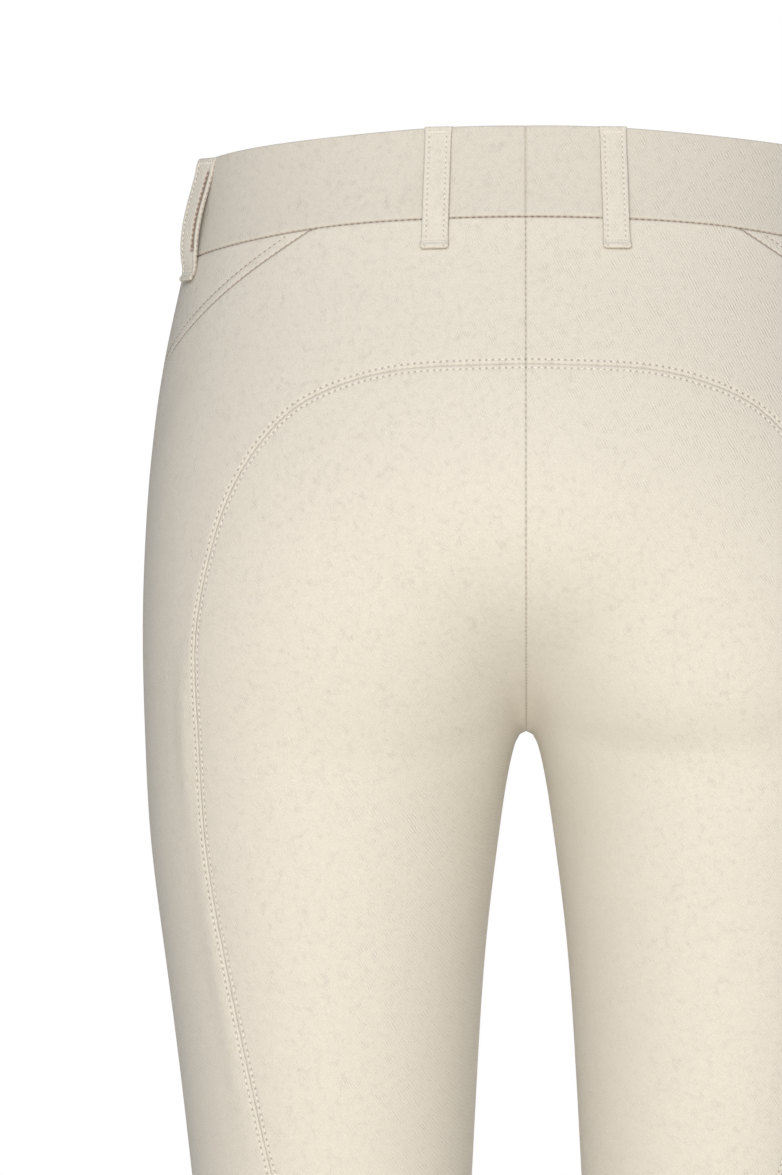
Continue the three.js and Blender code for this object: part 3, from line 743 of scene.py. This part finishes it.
back_points = panel_points(joined(band_back, hip, outseam, out_calf), joined(arch, seat_side, calf),
                           centre_back, hem_edge(-90), 1, BACK_SPAN)
seat_line = joined(arch, seat_side)(np.linspace(0, 1, 600))
SEAT_LENGTH = float(along_line(seat_line)[-1])
for side, word in SIDES:
    piece = panel("back_panel_" + word, side, back_points, CLOTH_WALL, cloth,
                  {"a": "hip", "b": "seat", "first": "centre", "last": "knit"},
                  rows=[("b", SEAT_ROW, 0, SEAT_LENGTH - SEAT_ROW_STOP)])
    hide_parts("back_" + word)

# ------------------------------------
# Full seat. Two halves of the same twill, joined at centre back and through the crotch, run from the arched
# seam down the inner leg to a tip on the inseam below the knee. A row of topstitching follows each side of
# the arched seam.
# ------------------------------------
SEAT_SPAN = (740, 150)
seat_points = panel_points(joined(arch, seat_side), joined(rise_back, inseam), None, None, 1, SEAT_SPAN)
seat_rows = []
for side, word in SIDES:
    piece = panel("full_seat_" + word, side, seat_points, CLOTH_WALL, cloth,
                  {"a": "seat", "b": "centre"}, rows=[("a", SEAT_ROW, 0, SEAT_LENGTH - SEAT_ROW_STOP)])
    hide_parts("seat_" + word)
    for inward in (1, -1):
        seat_rows.append(stitch_row(seat_line, side, SEAT_ROW, 0, SEAT_LENGTH - SEAT_ROW_STOP, inward))
stitching("seat_topstitching", seat_rows)

# ------------------------------------
# Fronts. Each runs from the curved hip seam and the outseam, which lies just forward of the side, to the
# centre front and the inseam. The hip seam is topstitched once, on the front's side of it.
# ------------------------------------
HIP_ROW = 4.3
HIP_ROW_START = 12.0
FRONT_SPAN = (900, 200)


def front_waist(u):
    return on_band_seam(HIP_TOP_ANGLE + u * (FRONT_ANGLE - HIP_TOP_ANGLE))


front_points = panel_points(joined(hip, outseam, out_calf), joined(rise_front, inseam, calf),
                            front_waist, hem_edge(270), -1, FRONT_SPAN)
side_line = joined(hip, outseam, out_calf)(np.linspace(0, 1, 700))
SIDE_LENGTH = float(along_line(side_line)[-1])
front_rows = []
for side, word in SIDES:
    piece = panel("front_panel_" + word, side, front_points, CLOTH_WALL, cloth,
                  {"a": "hip", "b": "side", "first": "waist", "last": "knit"},
                  rows=[("a", HIP_ROW, HIP_ROW_START, SIDE_LENGTH)])
    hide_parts("front_" + word)
    front_rows.append(stitch_row(side_line, side, HIP_ROW, HIP_ROW_START, SIDE_LENGTH - 2, inward=-1))
# The hip row's thread is coloured dark to paint the shade of the seam groove it lies in
thread_in_painted_shade = twisted_thread("thread_in_painted_shade", (0.36, 0.29, 0.23))
stitching("side_topstitching", front_rows, width=0.34, height=0.26, material=thread_in_painted_shade)

# ------------------------------------
# Waistband. Two layers of twill folded over at the top, shaped to the waist and seamed at centre back. It
# stands a little proud of the panels, and ladder stitches show in the seam below it as breaks in its
# painted shadow.
# ------------------------------------
BAND_WALL = 2.0
BAND_PROUD = 0.35
BAND_LENGTH, BAND_DEPTH = 410, 42
band_cloth = twill("waistband_twill", [channel * 0.93 for channel in CREAM])


def band_points():
    """Points over half of the waistband, from centre back to centre front and up to its fold."""
    around, up = graded(BAND_LENGTH)[:, None], graded(BAND_DEPTH)[None, :]
    nominal = 180 * around + 0 * up
    z = band_seam(nominal) * (1 - up) + band_top(nominal) * up
    low, high = angle_of(on_middle(z, 1), 1), angle_of(on_middle(z, -1), -1)
    points = on_ray(low + (high - low) * around, z)
    points[0], points[-1] = on_middle(z[0], 1), on_middle(z[-1], -1)
    return points


waist_points = band_points()
for side, word in SIDES:
    piece = panel("waistband_" + word + "_half", side, waist_points, BAND_WALL, band_cloth,
                  {"a": "waist", "b": "fold", "first": "band centre", "last": "fold"}, proud=BAND_PROUD)
    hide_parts("waistband_" + word)

# ------------------------------------
# Belt loops. Strips of twill folded in three and stitched along both edges, bar tacked at the band's top
# edge and folded under and tacked below its seam: two at the back, two at the sides and two in front. Each
# side loop stands off the band and shows the slit between its folds in place of one row of stitches.
# ------------------------------------
LOOPS = np.array([
    # name, angle at the top, angle at the foot, length below the seam, bow off the waistband, how far the
    # front edge leans out, how far the top curls in, and 1 for a slit
    ("back", 24.2, 18.8, 14.5, 0.9, 0.0, 0.3, 0),
    ("side", 78.0, 78.0, 11.5, 2.8, 3.4, 1.2, 1),
    ("front", 138.0, 138.5, 14.0, 1.4, 0.0, 0.3, 0),
], dtype=[("name", "U8"), *((key, float) for key in "top foot below bow lean curl slit".split())])
LOOP_WIDTH = 12.0
LOOP_WALL = 1.5
LOOP_REST = 0.75           # from the cloth to the loop's middle layer
LOOP_TACK = 6.0            # held down over this length at each end
LOOP_CORNER = 1.6
LOOP_EDGE_ROW = 2.1
LOOP_PITCH = 2.4
LOOP_FIRST = 3.6
LEAN_PIVOT = 0.35
LEAN_HELD, LEAN_FADE = 0.75, 9
SLIT_FROM_MIDDLE, SLIT_WIDTH, SLIT_GAPE = 3.3, 0.8, 0.6
NO_ROW = 50                # takes the needle's dents away from the slit
TACK_SPREAD = np.arange(-3.9, 4.0, 1.3)
UP = np.array([0.0, 0.0, 1.0])


def loop_place(loop, across, down):
    """Points of a loop's middle layer for distances across it and down it, the directions out of it,
    across it and down it there, and its length."""
    across, down = np.broadcast_arrays(across, down)
    top = band_top(loop["top"])
    length = top - band_seam(loop["foot"]) + loop["below"]
    share = down / length
    ends = on_ray(np.array([loop["top"], loop["foot"]]), np.array([top, top - length]))
    centre = settled(ends[0] + share[..., None] * (ends[1] - ends[0]))
    normal = outward(centre)
    sideways = np.cross(normal, UP)
    sideways /= np.linalg.norm(sideways, axis=-1, keepdims=True)
    flare = 1 + 0.09 * np.exp(-((length - down) / 4) ** 2) + 0.04 * np.exp(-(down / 3) ** 2)
    free = np.clip((down - LOOP_TACK) / (length - 2 * LOOP_TACK), 0, 1)
    lift = LOOP_REST + loop["bow"] * np.sin(np.pi * free ** 1.15)
    lift = lift - loop["curl"] * np.clip(1 - down / 4.5, 0, 1) ** 2
    lift = lift + 0.85 * np.exp(-((length - down - 1.2) / 1.6) ** 2)
    held = 1 - LEAN_HELD * np.exp(-((length - down) / LEAN_FADE) ** 2)
    lift = lift + loop["lean"] * (across / LOOP_WIDTH + LEAN_PIVOT) * held
    face = settled(centre + sideways * (across * flare)[..., None])
    direction = settled(centre - UP * 0.5) - settled(centre + UP * 0.5)
    direction /= np.linalg.norm(direction, axis=-1, keepdims=True)
    return face + normal * (lift + BAND_PROUD)[..., None], normal, sideways, direction, length


def rounded(distance, radius):
    """Share of the thickness left at a distance from a rounded edge."""
    inside = np.clip(1 - distance / radius, 0, 1)
    return np.sqrt(1 - inside ** 2)


def row_at(place, side, way, height):
    """Places for stitches on one side's loop, lying along one of its directions."""
    return (*(mirrored(place[i], side) for i in (0, way, 1)), height)


loop_rows = []
for loop in LOOPS:
    length = loop_place(loop, np.zeros(1), np.zeros(1))[4]
    edge = np.array([0, 0.08, 0.2, 0.4, 0.65, 1.0, 1.6, 2.1, 2.6])
    across = np.concatenate([edge, np.linspace(3.0, LOOP_WIDTH - 3.0, 14), LOOP_WIDTH - edge[::-1]])
    across = across - LOOP_WIDTH / 2
    ends = np.array([0, 0.08, 0.2, 0.4, 0.65, 1.0, 1.6, 2.4, 3.4])
    down = np.concatenate([ends, np.linspace(4.6, length - 4.6, 44), length - ends[::-1]])
    across, down = np.meshgrid(across, down)
    from_edge = LOOP_WIDTH / 2 - np.abs(across)
    corner = LOOP_CORNER * (1 - rounded(from_edge, LOOP_CORNER)) * (down / length) ** 24
    middle, normal = loop_place(loop, across, down - corner)[:2]
    full = rounded(from_edge, 0.75) * rounded(down, 0.6) * rounded(length - down, 0.9)
    row = np.abs(from_edge - LOOP_EDGE_ROW)
    dimple = 0.16 * np.exp(-(row / 0.5) ** 2)
    dimple += 0.25 * np.exp(-((length - down - 3.4) / 0.8) ** 2) + 0.2 * np.exp(-((down - 2.6) / 0.8) ** 2)
    open_part = np.clip((down - 5) / 5, 0, 1) * np.clip((length - 12 - down) / 4, 0, 1)
    wide = SLIT_WIDTH + SLIT_GAPE * np.exp(-((length - 13.5 - down) / 1.6) ** 2)
    slit = loop["slit"] * np.exp(-((across + SLIT_FROM_MIDDLE) / wide) ** 4) * open_part
    dimple += slit
    outer = middle + normal * (full * (LOOP_WALL / 2 - dimple))[..., None]
    inner = middle - normal * (full * LOOP_WALL / 2)[..., None]
    border = np.minimum(from_edge, length - down)
    beats = (down - LOOP_FIRST + LOOP_PITCH / 2) * STITCH_PITCH / LOOP_PITCH
    # Painted shade: a thin dark line round the loop's edges where its plies meet, and painted shadow in the
    # side loop's slit
    gap_shade = np.maximum(0.55 * np.exp(-(border / 0.16) ** 2), 2.0 * slit)
    attribute = np.stack([gap_shade, row + 0.2 + NO_ROW * (slit > 0.02), beats], -1)
    for side, word in SIDES:
        name = "_".join((str(loop["name"]), "belt_loop", word))
        piece = wall_mesh(name, mirrored(outer, side), mirrored(inner, side), {"seam": attribute})
        dressed(piece, cloth)
        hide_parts("_".join(("loop", str(loop["name"]), word)))
        round(length * MM, 4)
        spots = np.arange(LOOP_FIRST, length - 4.6, LOOP_PITCH)
        for edge_side in ((1, -1), (1,))[int(loop["slit"])]:
            place = loop_place(loop, edge_side * (LOOP_WIDTH / 2 - LOOP_EDGE_ROW), spots)
            loop_rows.append(row_at(place, side, 3, LOOP_WALL / 2 - 0.12))
        for tack in (2.4, 2.9, length - 3.1, length - 4.4):
            place = loop_place(loop, TACK_SPREAD, tack + 0.25 * np.sin(TACK_SPREAD * 2.4))
            loop_rows.append(row_at(place, side, 2, LOOP_WALL / 2 - 0.2))
stitching("loop_stitching", loop_rows, length=1.55, width=0.26, height=0.28)

# ------------------------------------
# Fly. The zip and its shield lie behind the centre front; a curved row of topstitching holds them to the
# front on the wearer's right. A short stand behind the waistband backs its fastening.
# ------------------------------------
FLY_TOP, FLY_TURN, FLY_FOOT = -43.5, -126.0, -163.0
FLY_WIDTH, FLY_TIP = 33.0, 1.5
FLY_SECOND_ROW = 1.6
CENTRE_ROW, CENTRE_ROW_LENGTH = 2.0, 130


def on_front(x, z):
    """Points of the front face at distances from the centre front."""
    x, z = np.broadcast_arrays(np.asarray(x, float), np.asarray(z, float))
    s = section(z)
    reach = reach_of(lambda r: field(x, s["middle"] - r, z, s) < 0, BEYOND + 0 * z)
    return np.stack([x, s["middle"] - reach, z], -1)


straight = np.linspace(FLY_TOP, FLY_TURN, 60)
bend = np.linspace(0, 0.5 * math.pi, 60)[1:]
fly_x = np.concatenate([FLY_WIDTH + 0 * straight, FLY_TIP + (FLY_WIDTH - FLY_TIP) * np.cos(bend)])
fly_z = np.concatenate([straight, FLY_TURN + (FLY_FOOT - FLY_TURN) * np.sin(bend)])
fly_line = on_front(fly_x, fly_z)
FLY_LENGTH = float(along_line(fly_line)[-1])
fly_rows = [stitch_row(fly_line, -1, 0.0, 0, FLY_LENGTH),
            stitch_row(fly_line, -1, FLY_SECOND_ROW, 0, FLY_LENGTH - 2)]
centre_front = on_front(0 * straight + CENTRE_ROW, np.linspace(FLY_TOP, FLY_FOOT + 8, 60))
fly_rows.append(stitch_row(centre_front, -1, 0.0, 0, CENTRE_ROW_LENGTH))
stitching("fly_topstitching", [(*row[:3], row[3] + 0.2) for row in fly_rows])

for node, slot, colour in (("fly_zip", "zip", (0.74, 0.70, 0.61)), ("button_stand", "cloth", CREAM)):
    material = twill(node + "_cloth", colour)
    carried = bpy.data.objects[node]
    carried.data.materials.clear()
    carried.data.materials.append(material)

# ------------------------------------
# Button. A four-hole resin button at the centre front, sewn to the wearer's right end of the waistband. Its
# profile is turned round its middle. Dark bars of painted shadow stand for its holes, and thread crosses
# from one to another.
# ------------------------------------
resin, resin_surface, place = blank_finish("button_resin", sheen=0.0, specular=0.5)
swirl = place.noise(160.0, 3.0)
place.colour(swirl, (0.60, 0.53, 0.42, 1), (0.42, 0.35, 0.26, 1)).feed(resin_surface, "Base Color")
(swirl * 0.15 + 0.28).feed(resin_surface, "Roughness")
low, high = (np.array(corner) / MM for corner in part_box("waist_button"))
button_middle = (low + high) / 2
button_normal = mirrored(outward(settled(mirrored(button_middle, -1))), -1)
button_right = np.cross(UP, button_normal)
button_right /= np.linalg.norm(button_right)
button_up = np.cross(button_normal, button_right)
# Distance from the middle, height
BUTTON_PROFILE = ((0.0, 0.25), (2.9, 0.25), (3.6, 0.55), (4.6, 0.9), (5.4, 1.25), (6.4, 1.3), (7.3, 1.05),
                  (7.85, 0.5), (8.0, 0.0), (7.8, -0.6), (7.0, -1.15), (4.0, -1.3), (0.0, -1.3))
HOLE_SPACING = 1.35
THREAD_SPREAD = 0.22
TURNS = 64
circle = [button_right * math.cos(turn) + button_up * math.sin(turn)
          for turn in np.arange(TURNS) * 2 * math.pi / TURNS]
work = bmesh.new()
rings = []
for radius, up in BUTTON_PROFILE:
    if radius == 0:
        rings.append([work.verts.new(button_middle + button_normal * up)])
        continue
    rings.append([work.verts.new(button_middle + spoke * radius + button_normal * up) for spoke in circle])
for inner_ring, outer_ring in zip(rings, rings[1:]):
    for j in range(TURNS):
        k = (j + 1) % TURNS
        corners = [inner_ring[j % len(inner_ring)], outer_ring[j % len(outer_ring)],
                   outer_ring[k % len(outer_ring)], inner_ring[k % len(inner_ring)]]
        work.faces.new(list(dict.fromkeys(corners)))
bmesh.ops.scale(work, vec=(MM, MM, MM), verts=work.verts)
bmesh.ops.recalc_face_normals(work, faces=work.faces)
mesh = bpy.data.meshes.new("waistband_button")
work.to_mesh(mesh)
work.free()
button = dressed(shown("waistband_button", mesh), resin)
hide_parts("waist_button")

dark, dark_surface, place = blank_finish("button_hole_shadow", sheen=0.0, specular=0.2)
tone = place.colour(place.noise(400.0), (0.05, 0.04, 0.03, 1), (0.08, 0.06, 0.05, 1))
tone.feed(dark_surface, "Base Color")
# Dark bars of painted shadow where the button's holes are
hole_shadow_rows = []
cross_rows = []
for across_sign in (1, -1):
    for up_sign in (1, -1):
        spot = button_middle + (button_right * across_sign + button_up * up_sign) * HOLE_SPACING
        hole_shadow_rows.append((spot[None], button_right[None], button_normal[None], 0.12))
for up_sign in (1, -1):
    for shift in (-THREAD_SPREAD, THREAD_SPREAD):
        spot = button_middle + button_up * (HOLE_SPACING * up_sign + shift)
        cross_rows.append((spot[None], button_right[None], button_normal[None], 0.35))
stitching("painted_button_hole_shade", hole_shadow_rows, length=1.5, width=0.75, height=0.2, material=dark)
stitching("button_thread", cross_rows, length=3.2, width=0.22, height=0.22)

# ------------------------------------
# Cuffs. A ring of doubled rib knit at each ankle, sewn to the hem with its fold at the bottom. Its ribs are
# in the mesh and its courses of stitches in the finish.
# ------------------------------------
CUFF_WALL = 1.4
CUFF_BOTTOM_Z = -926
CUFF_RIBS = 92
RIB_HEIGHT = 0.28
COURSE = 1.1


def rib_knit():
    """Doubled rib knit: painted shade between the ribs, with a course of stitches every COURSE along them.
    """
    material, surface, place = blank_finish("rib_knit_cloth", sheen=0.15, specular=0.2)
    gap_shade, rib, along = place.seam().parts()
    yarn = place.noise(1500.0, 2.0, 0.6)
    stitch = (along * (2 * math.pi / COURSE) + yarn * 2.0).maths("SINE")
    tone = place.colour(yarn, shades(CREAM, 0.97), shades(CREAM, 0.84))
    # Painted shade between the ribs
    tone = place.colour((rib * 0.4).maths("MAXIMUM", 0.0), tone, shades(CREAM, 0.62))
    place.colour(gap_shade, tone, SHADOW_BROWN).feed(surface, "Base Color")
    (yarn * 0.15 + 0.78).feed(surface, "Roughness")
    place.bump(stitch * 0.3 + yarn * 0.5, 0.5, 0.0004).feed(surface, "Normal")
    return material


knit = rib_knit()
angles = np.linspace(0, 360, CUFF_RIBS * 8 + 1)[:, None]
heights = (HEM_Z + graded(HEM_Z - CUFF_BOTTOM_Z) * (CUFF_BOTTOM_Z - HEM_Z))[None, :]
ring_points = on_ray(angles + 0 * heights, heights + 0 * angles)
wave = np.cos(np.radians(angles) * CUFF_RIBS)
taper = rounded(heights - CUFF_BOTTOM_Z, 1.2) * rounded(HEM_Z - heights, 3.0)
ring_relief = (RIB_HEIGHT * (wave - 1) / 2 - 0.3 * (1 - taper)) + 0 * heights
for side, word in SIDES:
    base, faced = mirrored(ring_points, side), mirrored(outward(ring_points), side)
    outer = base + faced * ring_relief[..., None]
    inner = base - faced * (CUFF_WALL * np.maximum(taper, 0.05) + 0 * angles)[..., None]
    # Painted shade along the hem seam; the second value marks the rib valleys for the painted shade between
    # ribs
    gap_shade = 0.5 * np.exp(-((HEM_Z - heights) / 0.5) ** 2) + 0 * angles
    attribute = np.stack([gap_shade, (1 - wave) / 2 + 0 * heights, heights + 0 * angles], -1)
    piece = wall_mesh("ankle_cuff_" + word, outer, inner, {"seam": attribute})
    dressed(piece, knit)
    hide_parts("cuff_" + word)

# ------------------------------------
# Floor, light and camera. A plain white floor, a large soft key behind the camera, soft light all round and
# a camera straight behind the breeches, close up on the seat.
# ------------------------------------
bpy.ops.mesh.primitive_circle_add(vertices=96, radius=1.9, fill_type="NGON", location=(0, 0, -1.0))
floor = bpy.context.object
floor.name = "floor"
white = bpy.data.materials.new("floor_white")
white.use_nodes = True
paint = white.node_tree.nodes["Principled BSDF"].inputs
paint["Base Color"].default_value = (0.92, 0.92, 0.92, 1)
paint["Roughness"].default_value = 0.9
floor.data.materials.append(white)

world = bpy.data.worlds.new("studio")
bpy.context.scene.world = world
world.use_nodes = True
sky = world.node_tree
seen_by_camera = Wire(sky).node("ShaderNodeLightPath", output=0)
ambient = seen_by_camera.node("ShaderNodeBackground", {}, {"Color": (1, 1, 1, 1), "Strength": 0.28})
backdrop = seen_by_camera.node("ShaderNodeBackground", {}, {"Color": (1, 1, 1, 1), "Strength": 1.0})
split = seen_by_camera.node("ShaderNodeMixShader", {}, {0: seen_by_camera, 1: ambient, 2: backdrop})
sky.links.new(split.socket, sky.nodes["World Output"].inputs["Surface"])


def softbox(name, place, aim, size, power, colour):
    light = bpy.data.lights.new(name, "AREA")
    light.shape = "RECTANGLE"
    light.size, light.size_y = size
    light.energy = power
    light.color = colour
    lamp = bpy.data.objects.new(name, light)
    lamp.location = place
    lamp.rotation_euler = (Vector(aim) - Vector(place)).to_track_quat("-Z", "Y").to_euler()
    bpy.context.scene.collection.objects.link(lamp)


softbox("key", (0.22, 3.0, 0.85), (0, 0, -0.25), (1.8, 1.2), 53, (1.0, 1.0, 1.04))
softbox("low_fill", (0.1, 2.4, -0.75), (0, 0, -0.5), (1.6, 0.4), 20, (1.0, 0.85, 0.58))
softbox("front_light", (-0.6, -3.0, 1.0), (0, 0, -0.4), (1.6, 1.6), 62, (1.0, 0.99, 0.97))

CAMERA_DISTANCE, CAMERA_Z = 3.5, -0.390
AIM = Vector((0.0614, 0.0, -0.1798))
FRAME_HEIGHT = 0.5341
camera = bpy.data.cameras.new("camera")
eye = bpy.data.objects.new("camera", camera)
eye.location = (0, CAMERA_DISTANCE, CAMERA_Z)
eye.rotation_euler = (AIM - eye.location).to_track_quat("-Z", "Y").to_euler()
camera.sensor_width = 36
camera.lens = camera.sensor_width * (AIM - eye.location).length / FRAME_HEIGHT
camera.clip_end = 50
bpy.context.scene.collection.objects.link(eye)
bpy.context.scene.camera = eye
bpy.context.scene.view_settings.view_transform = "Standard"
